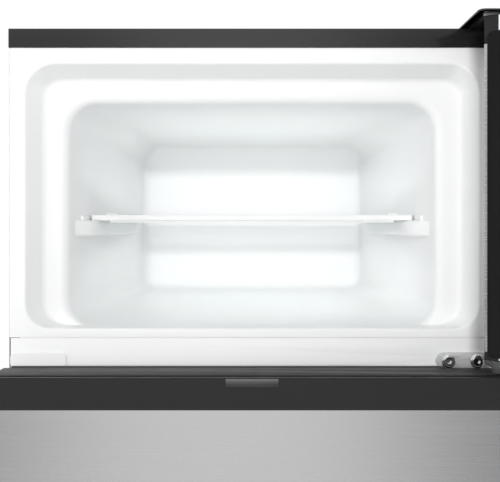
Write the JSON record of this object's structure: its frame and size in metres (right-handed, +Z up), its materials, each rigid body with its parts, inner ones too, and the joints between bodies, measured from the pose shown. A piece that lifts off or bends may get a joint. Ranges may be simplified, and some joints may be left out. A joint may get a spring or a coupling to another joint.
{
  "type": "top freezer refrigerator",
  "caption": "Upright refrigerator with a freezer on top, right-hinged doors, sliding freezer shelf, crisper drawer, door racks, rear condenser and compressor, levelling feet and rollers.",
  "frame": {"origin": "on the floor, under the middle of the cabinet's front flange", "axes": "+X to the right seen from the front, +Y to the back, +Z up"},
  "size_m": [1.004, 0.8385, 1.426],
  "materials": {
    "cabinet_paint": "satin",
    "zinc_sheet": "matt",
    "black_metal": "satin",
    "copper": "satin",
    "chrome_bolt": "polished",
    "hinge_metal": "satin",
    "door_steel": "horizontally brushed",
    "liner_white": "satin",
    "foam": "matt",
    "black_gloss": "gloss",
    "cap_grey": "satin",
    "grey_plastic": "satin",
    "clear_plastic": "gloss",
    "gasket_rubber": "matt",
    "rubber_black": "matt",
    "shelf_glass": "clear",
    "lamp_glass": "frosted"
  },
  "bodies": {
    "cabinet": {"side_panel_left": "cabinet_paint", "side_panel_right": "cabinet_paint", "top_panel": "cabinet_paint", "back_panel": "zinc_sheet", "bay_panel": "zinc_sheet", "base_frame": "zinc_sheet", "insulation_foam": "foam", "freezer_liner": "liner_white", "fridge_liner": "liner_white", "top_front_trim": "black_gloss", "mullion_cover": "liner_white", "mullion_hole_cover": "liner_white", "top_hinge_bracket": "hinge_metal", "top_hinge_cover": "black_gloss", "middle_hinge_bracket": "hinge_metal", "bottom_hinge_bracket": "hinge_metal", "hinge_bolts": "chrome_bolt", "toe_grille": "cap_grey", "compressor": "black_metal", "compressor_grommets": "rubber_black", "start_relay_box": "black_gloss", "condenser": "black_metal", "refrigerant_pipes": "copper", "evaporator_tubing": "copper", "drain_pan": "cap_grey", "thermostat_housing": "liner_white", "lamp": "lamp_glass", "lamp_lens": "clear_plastic", "cord_gland": "rubber_black", "roller_axles": "zinc_sheet", "fridge_shelf_glasses": "shelf_glass", "fridge_shelf_trims": "liner_white", "crisper_cover": "shelf_glass"},
    "freezer_door": {"freezer_door_skin": "door_steel", "freezer_door_foam": "foam", "freezer_door_liner": "liner_white", "freezer_door_gasket": "gasket_rubber", "freezer_door_top_cap": "cap_grey", "freezer_door_bottom_cap": "cap_grey", "freezer_door_upper_rack": "clear_plastic", "freezer_door_lower_rack": "clear_plastic"},
    "fridge_door": {"fridge_door_skin": "door_steel", "fridge_door_foam": "foam", "fridge_door_liner": "liner_white", "fridge_door_gasket": "gasket_rubber", "fridge_door_top_cap": "cap_grey", "door_cap_tab": "grey_plastic", "fridge_door_bottom_cap": "cap_grey", "fridge_door_upper_rack": "clear_plastic", "fridge_door_middle_rack": "clear_plastic", "fridge_door_bottle_rack": "clear_plastic"},
    "freezer_shelf": {"freezer_shelf_glass": "shelf_glass", "freezer_shelf_rail": "liner_white"},
    "crisper": {"crisper_drawer": "clear_plastic"},
    "thermostat": {"thermostat_knob": "grey_plastic"},
    "door_switch": {"door_switch_button": "liner_white"},
    "foot_left": {"levelling_foot_left": "cap_grey"},
    "foot_right": {"levelling_foot_right": "cap_grey"},
    "roller_left": {"rear_roller_left": "grey_plastic"},
    "roller_right": {"rear_roller_right": "grey_plastic"}
  },
  "joints": [
    {"name": "freezer_door_hinge", "type": "hinge", "parent": "cabinet", "child": "freezer_door", "pos_m": [0.2615, -0.036, 1.2284], "axis": [0, 0, 1], "range_deg": [-149, 11]},
    {"name": "fridge_door_hinge", "type": "hinge", "parent": "cabinet", "child": "fridge_door", "pos_m": [0.2615, -0.036, 0.5477], "axis": [0, 0, 1], "range_deg": [0, 140]},
    {"name": "freezer_shelf_slide", "type": "slide", "parent": "cabinet", "child": "freezer_shelf", "axis": [0, -1, 0], "range_m": [0, 0.2]},
    {"name": "crisper_slide", "type": "slide", "parent": "cabinet", "child": "crisper", "axis": [0, -1, 0], "range_m": [0, 0.034]},
    {"name": "thermostat_turn", "type": "hinge", "parent": "cabinet", "child": "thermostat", "pos_m": [-0.055, 0.04, 0.966], "axis": [0, -1, 0], "range_deg": [-135, 135]},
    {"name": "door_switch_press", "type": "slide", "parent": "cabinet", "child": "door_switch", "axis": [0, -1, 0], "range_m": [0, 0.006]},
    {"name": "foot_left_turn", "type": "hinge", "parent": "cabinet", "child": "foot_left", "pos_m": [-0.2325, 0.032, 0.03], "axis": [0, 0, 1], "range_deg": [-360, 360]},
    {"name": "foot_right_turn", "type": "hinge", "parent": "cabinet", "child": "foot_right", "pos_m": [0.2325, 0.032, 0.03], "axis": [0, 0, 1], "range_deg": [-360, 360]},
    {"name": "roller_left_spin", "type": "hinge", "parent": "cabinet", "child": "roller_left", "pos_m": [-0.2325, 0.434, 0.018], "axis": [1, 0, 0], "continuous": true},
    {"name": "roller_right_spin", "type": "hinge", "parent": "cabinet", "child": "roller_right", "pos_m": [0.2325, 0.434, 0.018], "axis": [1, 0, 0], "continuous": true}
  ],
  "couplings": [
    {"joint": "door_switch_press", "follows": "fridge_door_hinge", "m_per_rad": 0.0024555}
  ]
}
